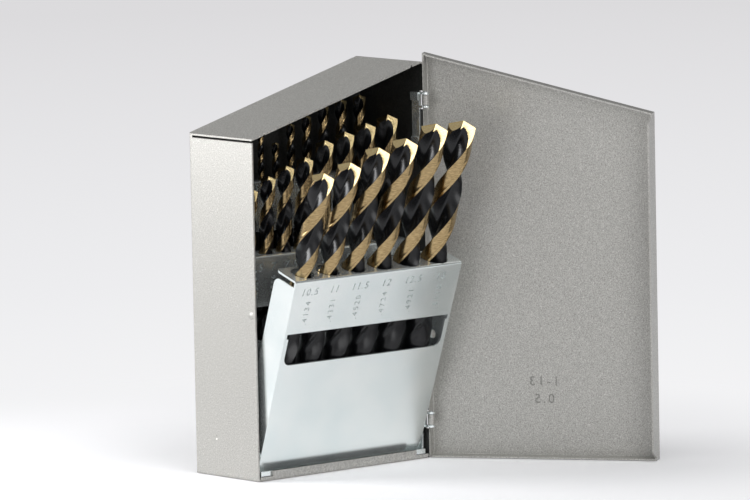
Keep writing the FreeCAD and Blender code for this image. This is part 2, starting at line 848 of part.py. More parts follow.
def drill(size, x, y, stand):
    """A drill that stands on its shank end at the given height."""
    length = longest_drill * length_shares[row_place(size)]
    flute_length = length * flute_shares[row_place(size)]
    shape = fluted_body(size, flute_length, x, y)
    shape = shape.fuse(peg_along_z(size / 2, shank_sides, -length, -flute_length, x, y))
    shape.translate(FreeCAD.Vector(0, 0, stand + length))
    return shape


def all_parts():
    parts = {
        "case_shell": case_shell(),
        "lid_shell": lid_shell(),
        "rack_base": rack_base(),
        "base_rivets": base_rivets(),
        "rack_rivets": rack_rivets(),
        "hinge_clip_upper": hinge_clip(upper_clip_base, True),
        "hinge_clip_lower": hinge_clip(lower_clip_base, False),
        "hinge_pin_upper": hinge_pin(upper_clip_base, True),
        "hinge_pin_lower": hinge_pin(lower_clip_base, False),
        "front_rack_rod": pivot_rod(front_rack_from_front),
        "middle_rack_rod": pivot_rod(middle_rack_from_front),
    }
    parts.update(front_parts())
    parts.update(middle_parts())
    parts.update(back_parts())
    return parts


os.makedirs("parts", exist_ok=True)
for node, shape in sorted(all_parts().items()):
    shape.exportStep("parts/%s.step" % node)
    print(node, len(shape.Solids), shape.isValid())
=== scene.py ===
"""Looks of a drill bit case: a painted steel case and lid, zinc plated racks and two-tone twist drills."""
import json
import math

import bpy
from mathutils import Matrix, Vector

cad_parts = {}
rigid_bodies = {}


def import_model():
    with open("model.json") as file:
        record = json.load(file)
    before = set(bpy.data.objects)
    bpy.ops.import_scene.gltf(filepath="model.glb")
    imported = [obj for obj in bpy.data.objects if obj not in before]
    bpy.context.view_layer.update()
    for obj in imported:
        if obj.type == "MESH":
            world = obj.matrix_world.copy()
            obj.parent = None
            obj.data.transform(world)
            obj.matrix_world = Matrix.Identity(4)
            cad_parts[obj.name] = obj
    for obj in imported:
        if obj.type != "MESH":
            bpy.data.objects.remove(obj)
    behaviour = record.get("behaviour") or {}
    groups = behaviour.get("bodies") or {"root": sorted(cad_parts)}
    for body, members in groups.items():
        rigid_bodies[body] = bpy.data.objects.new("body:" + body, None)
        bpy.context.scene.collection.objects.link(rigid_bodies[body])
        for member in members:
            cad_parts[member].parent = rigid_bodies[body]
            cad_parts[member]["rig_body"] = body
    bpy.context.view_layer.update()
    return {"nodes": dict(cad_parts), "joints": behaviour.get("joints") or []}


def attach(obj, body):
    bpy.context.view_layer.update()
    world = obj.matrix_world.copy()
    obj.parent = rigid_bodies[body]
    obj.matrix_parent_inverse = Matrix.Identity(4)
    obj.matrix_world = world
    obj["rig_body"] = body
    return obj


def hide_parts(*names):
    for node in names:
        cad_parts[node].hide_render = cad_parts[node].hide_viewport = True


bl_info = {
    "name": "Drill Bit Case",
    "version": (1, 0, 0),
    "blender": (4, 5, 0),
    "location": "View3D > Sidebar > Drill Case",
    "description": "Dresses the packed drill bit case and sets it on a pale table",
    "category": "Object",
}

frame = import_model()

MM = 0.001
TINY = 0.001 * MM
CAD = frame["nodes"]
JOINTS = {joint["name"]: joint for joint in frame["joints"]}
BODY_OF = {node: obj["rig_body"] for node, obj in CAD.items()}
DRILLS = sorted(node for node in CAD if node.startswith("drill_"))
UP = Vector((0, 0, 1))
ACROSS = Vector((1, 0, 0))
WHITE = (1.0, 1.0, 1.0)
BLACK = (0.0, 0.0, 0.0)


# Colour and nodes

def linear(code):
    """An sRGB hex colour such as 'C0A060' as a linear one."""
    shares = [int(code[i:i + 2], 16) / 255 for i in (0, 2, 4)]
    return tuple(c / 12.92 if c <= 0.04045 else ((c + 0.055) / 1.055) ** 2.4 for c in shares)


def rgba(colour):
    """The colour with full opacity, as sockets take it."""
    return (*colour, 1.0)


def add_node(tree, kind, sockets=None, links=None, **settings):
    """Adds one node: its settings, its sockets' values, and links from other nodes' outputs."""
    node = tree.nodes.new(kind)
    for name, value in settings.items():
        setattr(node, name, value)
    for name, value in (sockets or {}).items():
        node.inputs[name].default_value = value
    for name, output in (links or {}).items():
        tree.links.new(output, node.inputs[name])
    return node


def new_material(name):
    """A material with its Principled shader and Object coordinates to hand."""
    material = bpy.data.materials.new(name)
    material.use_nodes = True
    tree = material.node_tree
    shader = tree.nodes["Principled BSDF"]
    place = add_node(tree, "ShaderNodeTexCoord").outputs["Object"]
    return material, tree, shader, place


def per_metre(size):
    """A texture scale for features of this size in metres, the unit of Object coordinates."""
    return 1.0 / size


def ramp(tree, factor, stops):
    """The colour that a factor picks between stops of place and linear colour."""
    node = add_node(tree, "ShaderNodeValToRGB", links={"Fac": factor})
    elements = node.color_ramp.elements
    while len(elements) < len(stops):
        elements.new(0.5)
    for element, (where, colour) in zip(elements, stops):
        element.position = where
        element.color = rgba(colour)
    return node.outputs["Color"]


# Finishes

# Painted glints: the white flake dots come in patches this many flakes wide
PATCH_FLAKES = 2.3


def hammered_enamel(name, light, dark, roughness):
    """Silver hammered baking enamel, sprayed on steel, in a finely dimpled skin: white dots are painted glints
    of the leafing flakes, and the pits carry painted shade.
    """
    material, tree, shader, place = new_material(name)
    look = bpy.context.scene.case_finish
    pits = add_node(tree, "ShaderNodeTexNoise", {"Scale": per_metre(look.dimple), "Detail": 2.0},
                    {"Vector": place})
    flakes = add_node(tree, "ShaderNodeTexVoronoi", {"Scale": per_metre(look.flake)}, {"Vector": place})
    # Painted shade: the tone follows the bump's noise, darker in the pits and lighter on the raised skin
    shade = ramp(tree, pits.outputs["Fac"], ((0.3, dark), (0.7, light)))
    glint_core = ramp(tree, flakes.outputs["Distance"], ((0.0, WHITE), (0.3, BLACK)))
    patches = add_node(tree, "ShaderNodeTexNoise",
                       {"Scale": per_metre(PATCH_FLAKES * look.flake), "Detail": 0.0}, {"Vector": place})
    glint_patches = ramp(tree, patches.outputs["Fac"], ((0.57, BLACK), (0.64, WHITE)))
    glint_mask = add_node(tree, "ShaderNodeMath", {}, {0: glint_core, 1: glint_patches}, operation="MULTIPLY")
    # The white flake dots mixed in here are painted glints
    mixed = add_node(tree, "ShaderNodeMix", {"B": rgba(linear("F2F1EE"))},
                     {"Factor": glint_mask.outputs[0], "A": shade}, data_type="RGBA")
    bump = add_node(tree, "ShaderNodeBump", {"Strength": 0.45, "Distance": 0.04 * MM},
                    {"Height": pits.outputs["Fac"]})
    tree.links.new(mixed.outputs["Result"], shader.inputs["Base Color"])
    tree.links.new(bump.outputs["Normal"], shader.inputs["Normal"])
    shader.inputs["Metallic"].default_value = 0.4
    shader.inputs["Roughness"].default_value = roughness
    return material


def inside_painted_shade():
    """Painted shade for the inside of the case: a dark matt grey with a mottled tone."""
    material, tree, shader, place = new_material("dark primer with dry overspray")
    mottle = add_node(tree, "ShaderNodeTexNoise", {"Scale": per_metre(0.7 * MM), "Detail": 3.0},
                    {"Vector": place})
    colour = ramp(tree, mottle.outputs["Fac"], ((0.4, linear("191A18")), (0.75, linear("343432"))))
    tree.links.new(colour, shader.inputs["Base Color"])
    shader.inputs["Roughness"].default_value = 0.55
    return material


def zinc_plate():
    """Bright zinc electroplate on cold rolled sheet: a milky, bluish white mirror, faintly clouded."""
    material, tree, shader, place = new_material("bright zinc plated sheet")
    clouds = add_node(tree, "ShaderNodeTexNoise", {"Scale": per_metre(24.0 * MM), "Detail": 3.0},
                      {"Vector": place})
    rolled = add_node(tree, "ShaderNodeMapping", {"Scale": (0.15, 1.0, 5.0)}, {"Vector": place})
    grain = add_node(tree, "ShaderNodeTexNoise", {"Scale": per_metre(1.6 * MM), "Detail": 2.0},
                     {"Vector": rolled.outputs["Vector"]})
    colour = ramp(tree, clouds.outputs["Fac"], ((0.35, linear("E8F0F0")), (0.65, linear("F2F7F6"))))
    rough = add_node(tree, "ShaderNodeMapRange", {"To Min": 0.18, "To Max": 0.26},
                     {"Value": clouds.outputs["Fac"]})
    bump = add_node(tree, "ShaderNodeBump", {"Strength": 0.05, "Distance": 0.02 * MM},
                    {"Height": grain.outputs["Fac"]})
    tree.links.new(colour, shader.inputs["Base Color"])
    tree.links.new(rough.outputs["Result"], shader.inputs["Roughness"])
    tree.links.new(bump.outputs["Normal"], shader.inputs["Normal"])
    shader.inputs["Metallic"].default_value = 0.82
    return material


def bright_steel():
    """Cold headed and drawn steel wire: grey, smooth, with a fine streaky tone."""
    material, tree, shader, place = new_material("bright drawn steel")
    streaks = add_node(tree, "ShaderNodeTexNoise", {"Scale": per_metre(0.8 * MM), "Detail": 1.0},
                       {"Vector": place})
    colour = ramp(tree, streaks.outputs["Fac"], ((0.3, linear("9FA1A2")), (0.7, linear("C4C6C7"))))
    tree.links.new(colour, shader.inputs["Base Color"])
    shader.inputs["Metallic"].default_value = 1.0
    shader.inputs["Roughness"].default_value = 0.28
    return material


def oxide_steel(name, dark, light, roughness, metallic, line, relief):
    """Oxide film on ground high speed steel: a tinted metal with grinding lines across its length."""
    material, tree, shader, place = new_material(name)
    across = add_node(tree, "ShaderNodeMapping", {"Scale": (0.3, 0.3, 4.0)}, {"Vector": place})
    lines = add_node(tree, "ShaderNodeTexNoise", {"Scale": per_metre(line), "Detail": 2.0},
                     {"Vector": across.outputs["Vector"]})
    colour = ramp(tree, lines.outputs["Fac"], ((0.32, linear(dark)), (0.68, linear(light))))
    bump = add_node(tree, "ShaderNodeBump", {"Strength": relief, "Distance": 0.01 * MM},
                    {"Height": lines.outputs["Fac"]})
    tree.links.new(colour, shader.inputs["Base Color"])
    tree.links.new(bump.outputs["Normal"], shader.inputs["Normal"])
    shader.inputs["Metallic"].default_value = metallic
    shader.inputs["Roughness"].default_value = roughness
    return material


def stamped_strokes():
    """Figures stamped into zinc plate as broken facets: the grey is painted shade in the stamped strokes, and
    a few bright facets are painted glints.
    """
    material, tree, shader, place = new_material("stamped zinc, figure strokes")
    facets = add_node(tree, "ShaderNodeTexVoronoi", {"Scale": per_metre(0.6 * MM)}, {"Vector": place})
    value = add_node(tree, "ShaderNodeSeparateColor", {}, {"Color": facets.outputs["Color"]})
    # Painted shade and glints: grey cells for the stamped strokes' shade, light cells for glints
    colour = ramp(tree, value.outputs[0], ((0.3, linear("8F9897")), (0.72, linear("C3CBCA"))))
    tree.links.new(colour, shader.inputs["Base Color"])
    shader.inputs["Metallic"].default_value = 0.35
    shader.inputs["Roughness"].default_value = 0.3
    return material


# Modelling helpers

# Points of a CAD mesh closer than this are one point, and faces within this angle are one flat face
CAD_WELD = 0.002 * MM
FLAT_ANGLE = math.radians(0.4)
# Points of a modelled mesh closer than this are one point
MESH_WELD = 0.0001 * MM
# Corners of sheet and hardware sharper than this are eased, in this many steps, and stay sharp in the shading
CORNER_ANGLE = math.radians(35)
EDGE_STEPS = 2
# The full weight that large faces have in the shading
FACE_WEIGHT = 100
# Height of a digit as a share of the built-in lettering's size
DIGIT_SHARE = 0.69


def deselect():
    """Leaves edit mode and selects nothing, as operators act on all that is selected."""
    if bpy.context.object and bpy.context.object.mode != "OBJECT":
        bpy.ops.object.mode_set(mode="OBJECT")
    bpy.ops.object.select_all(action="DESELECT")


def only(obj):
    """Makes one object the selected and active one."""
    deselect()
    obj.select_set(True)
    bpy.context.view_layer.objects.active = obj


def edit_all(obj):
    """Opens a mesh in edit mode with everything selected."""
    only(obj)
    bpy.ops.object.mode_set(mode="EDIT")
    bpy.ops.mesh.select_all(action="SELECT")


def edit_rim(obj, chosen):
    """Opens a mesh in edit mode with the chosen corners selected, and the edges between them."""
    only(obj)
    for vertex in obj.data.vertices:
        vertex.select = chosen(vertex.co)
    for edge in obj.data.edges:
        edge.select = all(obj.data.vertices[i].select for i in edge.vertices)
    for face in obj.data.polygons:
        face.select = False
    bpy.ops.object.mode_set(mode="EDIT")
    bpy.ops.mesh.select_mode(type="EDGE")


def mend_normals(obj):
    """Welds what lies together and turns every face outward."""
    edit_all(obj)
    bpy.ops.mesh.remove_doubles(threshold=MESH_WELD)
    bpy.ops.mesh.normals_make_consistent(inside=False)
    bpy.ops.object.mode_set(mode="OBJECT")


def apply_modifier(obj, modifier):
    """Turns a modifier's result into the mesh itself."""
    only(obj)
    bpy.ops.object.modifier_apply(modifier=modifier.name)


def dressed_copy(node, name, edge_radius):
    """A welded copy of a solid, with its flat faces joined and its edges eased."""
    obj = bpy.data.objects.new(name, CAD[node].data.copy())
    bpy.context.scene.collection.objects.link(obj)
    obj.data.materials.clear()
    only(obj)
    bpy.ops.mesh.customdata_custom_splitnormals_clear()
    edit_all(obj)
    bpy.ops.mesh.remove_doubles(threshold=CAD_WELD)
    bpy.ops.mesh.dissolve_limited(angle_limit=FLAT_ANGLE)
    bpy.ops.mesh.normals_make_consistent(inside=False)
    bpy.ops.object.mode_set(mode="OBJECT")
    bevel = obj.modifiers.new("eased edges", "BEVEL")
    bevel.width = edge_radius
    bevel.segments = EDGE_STEPS
    bevel.limit_method = "ANGLE"
    bevel.angle_limit = CORNER_ANGLE
    bevel.use_clamp_overlap = True
    apply_modifier(obj, bevel)
    only(obj)
    bpy.ops.object.shade_smooth_by_angle(angle=CORNER_ANGLE)
    even = obj.modifiers.new("flat faces stay flat", "WEIGHTED_NORMAL")
    even.weight = FACE_WEIGHT
    even.keep_sharp = True
    apply_modifier(obj, even)
    return obj


def give(obj, body, slot_name, *nodes):
    """Hands a finished piece to the body it moves with."""
    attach(obj, body)
    if nodes:
        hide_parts(*nodes)


def use_material(obj, *materials):
    """Gives a mesh these materials and no others."""
    obj.data.materials.clear()
    for material in materials:
        obj.data.materials.append(material)


def dress(nodes, prefix, edge_radius, slot_name, *materials):
    """Dressed copies of like nodes in their finish, each on its node's body."""
    made = {}
    for node in nodes:
        made[node] = dressed_copy(node, prefix + node, edge_radius)
        use_material(made[node], *materials)
        give(made[node], BODY_OF[node], slot_name, node)
    return made


def extent(node, direction):
    """Least and greatest distance of a solid along a direction."""
    along = [vertex.co.dot(direction) for vertex in CAD[node].data.vertices]
    return min(along), max(along)


def figures(body, height, depth, middle, axes, spacing, slant=0.0):
    """A number as raised strokes; its axes are the reading direction, the upright and the outward normal."""
    deselect()
    bpy.ops.object.text_add()
    obj = bpy.context.object
    obj.data.body = body
    obj.data.size = height / DIGIT_SHARE
    obj.data.align_x = "CENTER"
    obj.data.space_character = spacing
    obj.data.extrude = depth / 2
    bpy.ops.object.convert(target="MESH")
    drop = height / 2
    upright = Matrix(((1, slant, 0, -slant * drop), (0, 1, 0, -drop), (0, 0, 1, 0), (0, 0, 0, 1)))
    face = Matrix(axes).transposed().to_4x4()
    obj.data.transform(Matrix.Translation(middle) @ face @ upright)
    mend_normals(obj)
    return obj


def join(objects, name):
    """Makes one named piece of several meshes."""
    deselect()
    for obj in objects:
        obj.select_set(True)
    bpy.context.view_layer.objects.active = objects[0]
    bpy.ops.object.join()
    objects[0].name = name
    return objects[0]


# Sizes and colours that a user would change

class CaseFinish(bpy.types.PropertyGroup):
    """Paint of the case and lid."""
    light_colour: bpy.props.FloatVectorProperty(
        name="Light raised skin", description="Enamel on the raised skin between the pits", subtype="COLOR",
        size=3, min=0, max=1, default=linear("C3C2BD"))
    dark_colour: bpy.props.FloatVectorProperty(
        name="Dark pits", description="Enamel in the hammered pits, darkened as painted shade", subtype="COLOR",
        size=3, min=0, max=1, default=linear("918F8B"))
    dimple: bpy.props.FloatProperty(
        name="Dimple size", description="Width of one hammered dimple", subtype="DISTANCE",
        default=0.5 * MM, min=0.2 * MM, max=4 * MM)
    flake: bpy.props.FloatProperty(
        name="Flake spacing", description="Distance between the flakes painted as glints", subtype="DISTANCE",
        default=0.7 * MM, min=0.2 * MM, max=4 * MM)


class DrillShape(bpy.types.PropertyGroup):
    """Geometry of the twist drills."""
    helix: bpy.props.FloatProperty(
        name="Helix", description="Angle of the flutes to the axis", subtype="ANGLE",
        default=math.radians(30.5))
    lip: bpy.props.FloatProperty(
        name="Lip direction", description="Turn of the cutting lip about the axis", subtype="ANGLE",
        default=math.radians(32))
    point: bpy.props.FloatProperty(
        name="Point", description="Full angle between the cutting lips", subtype="ANGLE",
        default=math.radians(118))
    relief: bpy.props.FloatProperty(
        name="Lip relief", description="Slope of the point's facets behind each lip", subtype="ANGLE",
        default=math.radians(12))
    split_turn: bpy.props.FloatProperty(
        name="Split turn", description="Turn from a lip back to the downhill way of its split facet",
        subtype="ANGLE", default=math.radians(149))
    split_slope: bpy.props.FloatProperty(
        name="Split slope", description="Steepness of the facets that split the web", subtype="ANGLE",
        default=math.radians(64))
    split_from: bpy.props.FloatProperty(
        name="Split from", description="Drills thinner than this have a plain point", subtype="DISTANCE",
        default=2.9 * MM, min=2 * MM)
    gold_from: bpy.props.FloatProperty(
        name="Gold from", description="Share of the flutes, from the shank, below which the lands stay black",
        subtype="FACTOR", default=0.34, min=0, max=1)


class StageLight(bpy.types.PropertyGroup):
    """Lamps, table and room."""
    key_power: bpy.props.FloatProperty(
        name="Key lamp", description="Power of the softbox behind the case on its left", subtype="POWER",
        default=5.2)
    side_power: bpy.props.FloatProperty(
        name="Side lamp", description="Power of the softbox on the left", subtype="POWER", default=1.8)
    top_power: bpy.props.FloatProperty(
        name="Top lamp", description="Power of the large softbox overhead", subtype="POWER", default=7.2)
    front_power: bpy.props.FloatProperty(
        name="Front lamp", description="Power of the low softbox in front of the case", subtype="POWER",
        default=4.9)
    table_glow: bpy.props.FloatProperty(
        name="Table glow", description="Light that comes through the table from below", subtype="FACTOR",
        default=0.1, min=0, max=1)
    bright_side: bpy.props.FloatProperty(
        name="Bright side", description="Room light from the left and above", default=0.5, min=0, max=2)
    dim_side: bpy.props.FloatProperty(
        name="Dim side", description="Room light from the right", default=0.12, min=0, max=2)


# Sheet metal

# Radius of the eased edges, by kind of sheet
PAINTED_EDGE = 0.22 * MM
PLATED_EDGE = 0.12 * MM
PAINTED_ROUGHNESS = 0.37
# The lid stands open by this turn about the upright pins
LID_TURN = math.radians(125)
LID_SHEET = 0.8 * MM
# Figures pressed into the lid: text, height of their middle above the floor, height of the digits
LID_FIGURES = (("1-13", 36.2 * MM, 4.3 * MM), ("0.5", 27.9 * MM, 4.3 * MM))
LID_FIGURES_IN = 54.8 * MM
LID_RELIEF = 0.25 * MM
# The strokes' enamel is darker by this factor, as painted shade in the pressed strokes, and rougher
PRESSED_PAINTED_SHADE = 0.6
PRESSED_ROUGHNESS = 0.42
# How deep raised strokes are let into the sheet under them
STROKES_LET_IN = 0.02 * MM
# Rows stamped below the racks' holes: smallest and largest drill in millimetres, then the digits' height and
# their middle's drop below the rack's upper edge, for the number and for the inch size turned under it
STAMPED_ROWS = {
    "front_rack": (10.5, 13.0, (3.4 * MM, 6.0 * MM), (2.9 * MM, 16.9 * MM)),
    "middle_rack": (6.5, 10.0, (3.8 * MM, 5.4 * MM), (2.4 * MM, 14.6 * MM)),
    "back_rack": (1.0, 6.0, (2.6 * MM, 3.4 * MM), None),
}
STAMP_DEPTH = 0.06 * MM
STAMP_SLANT = 0.18
MM_PER_INCH = 25.4
# Spacing of the digits against the built-in lettering's
NUMBER_SPACING = 1.25
WIDE_SPACING = 1.35


class DRILL_CASE_OT_painted_shells(bpy.types.Operator):
    """Paint the case and the lid with hammered enamel"""
    bl_idname = "drill_case.painted_shells"
    bl_label = "Painted Shells"

    def execute(self, context):
        look = context.scene.case_finish
        paint = hammered_enamel("silver hammered baking enamel", look.light_colour, look.dark_colour,
                                PAINTED_ROUGHNESS)
        shells = dress(("case_shell", "lid_shell"), "painted_", PAINTED_EDGE, "hammered_paint",
                       paint, inside_painted_shade())
        # Painted shade: the case's inside faces take the dark second material
        self.darken_inside(shells["case_shell"])
        # Painted shade: the pressed strokes take a darker copy of the enamel
        light = tuple(c * PRESSED_PAINTED_SHADE for c in look.light_colour)
        dark = tuple(c * PRESSED_PAINTED_SHADE for c in look.dark_colour)
        self.lid_figures(hammered_enamel("enamel on the pressed strokes", light, dark, PRESSED_ROUGHNESS))
        return {"FINISHED"}

    def darken_inside(self, obj):
        """Gives the faces that look at the middle of the case, which are those inside it, the dark painted
        shade.
        """
        middle = sum((Vector(corner) for corner in obj.bound_box), Vector()) / len(obj.bound_box)
        for face in obj.data.polygons:
            if face.normal.dot(face.center - middle) < 0:
                face.material_index = 1

    def lid_figures(self, paint):
        """The set's range and step pressed into the lid, seen from both sides of the sheet."""
        to_free_edge = Vector((-math.cos(LID_TURN), -math.sin(LID_TURN), 0))
        inward = Vector((-math.sin(LID_TURN), math.cos(LID_TURN), 0))
        free = extent("lid_shell", to_free_edge)[1]
        outside = extent("lid_shell", inward)[0]
        faces = ((outside + LID_SHEET, inward, "inner"), (outside, -inward, "outer"))
        for text, height, digits in LID_FIGURES:
            for level, outward, side in faces:
                along = (free - LID_FIGURES_IN) * to_free_edge
                middle = along + level * inward + height * UP + outward * (LID_RELIEF / 2 - STROKES_LET_IN)
                obj = figures(text, digits, LID_RELIEF, middle, (-to_free_edge, UP, outward), WIDE_SPACING)
                obj.name = "lid_figures_%s_%s" % (side, text.replace("-", "_").replace(".", "_"))
                use_material(obj, paint)
                give(obj, BODY_OF["lid_shell"], "hammered_paint")


class DRILL_CASE_OT_plated_racks(bpy.types.Operator):
    """Dress the racks, their floors, the base and the hinge clips in zinc plate"""
    bl_idname = "drill_case.plated_racks"
    bl_label = "Plated Racks"

    def execute(self, context):
        plated = ("front_rack", "middle_rack", "back_rack", "front_rack_floor", "middle_rack_floor",
                  "back_rack_floor", "rack_base", "hinge_clip_upper", "hinge_clip_lower")
        dress(plated, "plated_", PLATED_EDGE, "zinc_plate", zinc_plate())
        strokes = stamped_strokes()
        for rack, row in STAMPED_ROWS.items():
            self.stamp(rack, *row, strokes)
        return {"FINISHED"}

    def stamp(self, rack, smallest, largest, number_row, inch_row, strokes):
        """Stamps each drill's number on its rack's face, below its hole, and the inch size turned under it."""
        held = [node for node in DRILLS if smallest <= drill_size(node) <= largest]
        up = Vector(JOINTS[held[0] + "_lift"]["axis"]).normalized()
        outward = Vector((0, -up.z, up.y))
        face = extent(rack, outward)[1] + STAMP_DEPTH / 2
        top = extent(rack, up)[1]
        made = []
        for node in held:
            size = drill_size(node)
            place = drill_axis(node)[0].x * ACROSS + face * outward
            digits, drop = number_row
            made.append(figures("%g" % size, digits, STAMP_DEPTH, place + (top - drop) * up,
                                (ACROSS, up, outward), NUMBER_SPACING, STAMP_SLANT))
            if inch_row:
                digits, drop = inch_row
                inches = ("%.4f" % (size / MM_PER_INCH)).lstrip("0")
                made.append(figures(inches, digits, STAMP_DEPTH, place + (top - drop) * up,
                                    (up, -ACROSS, outward), WIDE_SPACING))
        obj = join(made, "stamped_figures_" + rack)
        use_material(obj, strokes)
        give(obj, BODY_OF[rack], "zinc_plate")


# Small hardware

HARDWARE_EDGE = 0.15 * MM


class DRILL_CASE_OT_pins_and_rivets(bpy.types.Operator):
    """Dress the hinge pins, the racks' rods and the rivets in bright steel"""
    bl_idname = "drill_case.pins_and_rivets"
    bl_label = "Pins and Rivets"

    def execute(self, context):
        hardware = ("hinge_pin_upper", "hinge_pin_lower", "front_rack_rod", "middle_rack_rod", "base_rivets",
                    "rack_rivets")
        dress(hardware, "bright_", HARDWARE_EDGE, "bright_steel", bright_steel())
        return {"FINISHED"}


# Twist drills

# Flute length of each drill, in millimetres
FLUTE_LENGTHS = {
    1.0: 17, 1.5: 22, 2.0: 25, 2.5: 35, 3.0: 41, 3.5: 46, 4.0: 54, 4.5: 56, 5.0: 60, 5.5: 62, 6.0: 64,
    6.5: 70, 7.0: 73, 7.5: 78, 8.0: 81, 8.5: 87, 9.0: 89, 9.5: 92, 10.0: 95, 10.5: 98, 11.0: 101,
    11.5: 106, 12.0: 110, 12.5: 114, 13.0: 114,
}
# Half a section of the fluted body, as degrees behind the cutting lip and share of the radius: the margin, the
# land and the flute
SECTION = (
    (0, 1.0), (5, 1.0), (10, 1.0),
    (12, 0.985), (22, 0.985), (33, 0.985), (44, 0.985), (55, 0.985), (65, 0.985),
    (68, 0.88), (73, 0.73), (80, 0.57), (89, 0.42), (100, 0.315), (112, 0.255), (125, 0.23), (138, 0.24),
    (151, 0.3), (161, 0.42), (168, 0.57), (173, 0.73), (177, 0.88),
)
# The land ends this many degrees behind the lip
LAND_END = 65
# Turn of the sweep from one ring to the next, in degrees, and the fewest rings
RING_TURN = 7.0
FEWEST_RINGS = 8
# The flutes run out into the shank over this many diameters, or this share of their length if that is less
RUN_OUT_DIAMETERS = 1.6
RUN_OUT_SHARE = 0.25
# Chamfer at the shank's end, or this share of the radius if that is less
CHAMFER = 0.5 * MM
CHAMFER_SHARE = 0.2
# As shares of the radius: the web left between the split facets, the grinding wheel and the point's height
WEB_SHARE = 0.03
WHEEL_SHARE = 8.0
POINT_SHARE = 3.0
# Faces whose normals agree this well lie in one ground facet, and flatter edges than this are shaded smooth
SAME_FACET = 0.998
FLUTE_ANGLE = math.radians(28)
FLUTE_FINISH, LAND_FINISH, POINT_FINISH = 0, 1, 2


def drill_size(node):
    """Diameter in millimetres, from the node's name."""
    return float(node[len("drill_"):].replace("_", "."))


def drill_axis(node):
    """Foot and direction of a drill, and its length, read off its solid."""
    axis = Vector(JOINTS[node + "_lift"]["axis"]).normalized()
    points = [vertex.co for vertex in CAD[node].data.vertices]
    heights = [point.dot(axis) for point in points]
    low, high = min(heights), max(heights)
    foot = [point for point, height in zip(points, heights) if height - low < 10 * TINY]
    middle = Vector([(min(p[i] for p in foot) + max(p[i] for p in foot)) / 2 for i in range(3)])
    return middle, axis, high - low


def section_ring(radius):
    """Corners of one whole section, as turn behind the lip and distance from the axis, both halves alike."""
    half = [(math.radians(turn), radius * share) for turn, share in SECTION]
    return half + [(turn + math.pi, distance) for turn, distance in half]


def smooth_step(share):
    """Eases a share from 0 to 1 at both ends."""
    share = min(max(share, 0.0), 1.0)
    return share * share * (3 - 2 * share)


def fluted_blank(name, size, length, flute):
    """The drill upright at the origin: a section swept up its helix from the shank to the top."""
    shape = bpy.context.scene.drill_shape
    section = section_ring(size / 2 * MM)
    lead = math.pi * size * MM / math.tan(shape.helix)
    deselect()
    bpy.ops.mesh.primitive_circle_add(vertices=len(section), radius=size / 2 * MM, fill_type="NOTHING")
    obj = bpy.context.object
    obj.name = name
    whole_turn = 2 * math.pi * flute / lead
    for vertex, (turn, distance) in zip(obj.data.vertices, section):
        angle = shape.lip - turn - whole_turn
        vertex.co = (distance * math.cos(angle), distance * math.sin(angle), length - flute)
    sweep = obj.modifiers.new("helix", "SCREW")
    sweep.axis = "Z"
    sweep.angle = whole_turn
    sweep.screw_offset = flute
    sweep.steps = max(FEWEST_RINGS, round(math.degrees(whole_turn) / RING_TURN))
    sweep.render_steps = sweep.steps
    sweep.use_smooth_shade = False
    sweep.use_merge_vertices = False
    apply_modifier(obj, sweep)
    return obj


def paint_lands(obj, lands, flutes, gold_from):
    """Gives each strip of the swept surface its own finish, by its place behind the lip and its height."""
    half = len(SECTION)
    around = 2 * half
    land_strips = sum(turn < LAND_END for turn, share in SECTION)
    obj.data.materials.append(flutes)
    obj.data.materials.append(lands)
    for face in obj.data.polygons:
        corners = sorted(index % around for index in face.vertices)
        first = corners[0] if corners[-1] - corners[0] < half else corners[-1]
        on_land = first % half < land_strips
        face.material_index = LAND_FINISH if on_land and face.center.z > gold_from else FLUTE_FINISH


def run_out(obj, radius, start, length):
    """Lets the flutes rise into the shank over the given length."""
    for vertex in obj.data.vertices:
        rise = 1 - smooth_step((vertex.co.z - start) / length)
        distance = math.hypot(vertex.co.x, vertex.co.y)
        if rise > 0 and distance > TINY:
            grown = distance + (radius - distance) * rise
            vertex.co.x *= grown / distance
            vertex.co.y *= grown / distance


def close_top(obj, top):
    """Fills the open upper end of the swept blank."""
    edit_rim(obj, lambda place: place.z > top - TINY)
    bpy.ops.mesh.edge_face_add()
    bpy.ops.object.mode_set(mode="OBJECT")


def add_shank(obj, radius, height):
    """Extrudes the shank down from the flutes' lower end, with a small chamfer at its foot, and closes it."""
    chamfer = min(CHAMFER, radius * CHAMFER_SHARE)
    share = 1 - chamfer / radius
    edit_rim(obj, lambda place: place.z < height + TINY)
    bpy.ops.mesh.extrude_region_move(TRANSFORM_OT_translate={"value": (0, 0, chamfer - height)})
    bpy.ops.mesh.extrude_region_move(TRANSFORM_OT_translate={"value": (0, 0, -chamfer)})
    bpy.ops.transform.resize(value=(share, share, 1), center_override=(0, 0, 0))
    bpy.ops.mesh.edge_face_add()
    bpy.ops.mesh.select_all(action="SELECT")
    bpy.ops.mesh.normals_make_consistent(inside=False)
    bpy.ops.object.mode_set(mode="OBJECT")


def cut_away(obj, point, normal):
    """Cuts a closed mesh by a plane and keeps what lies behind it."""
    edit_all(obj)
    bpy.ops.mesh.bisect(plane_co=point, plane_no=normal, use_fill=True, clear_outer=True)
    bpy.ops.object.mode_set(mode="OBJECT")


def bearing(angle):
    """The level direction at this turn about the axis."""
    return Vector((math.cos(angle), math.sin(angle), 0))


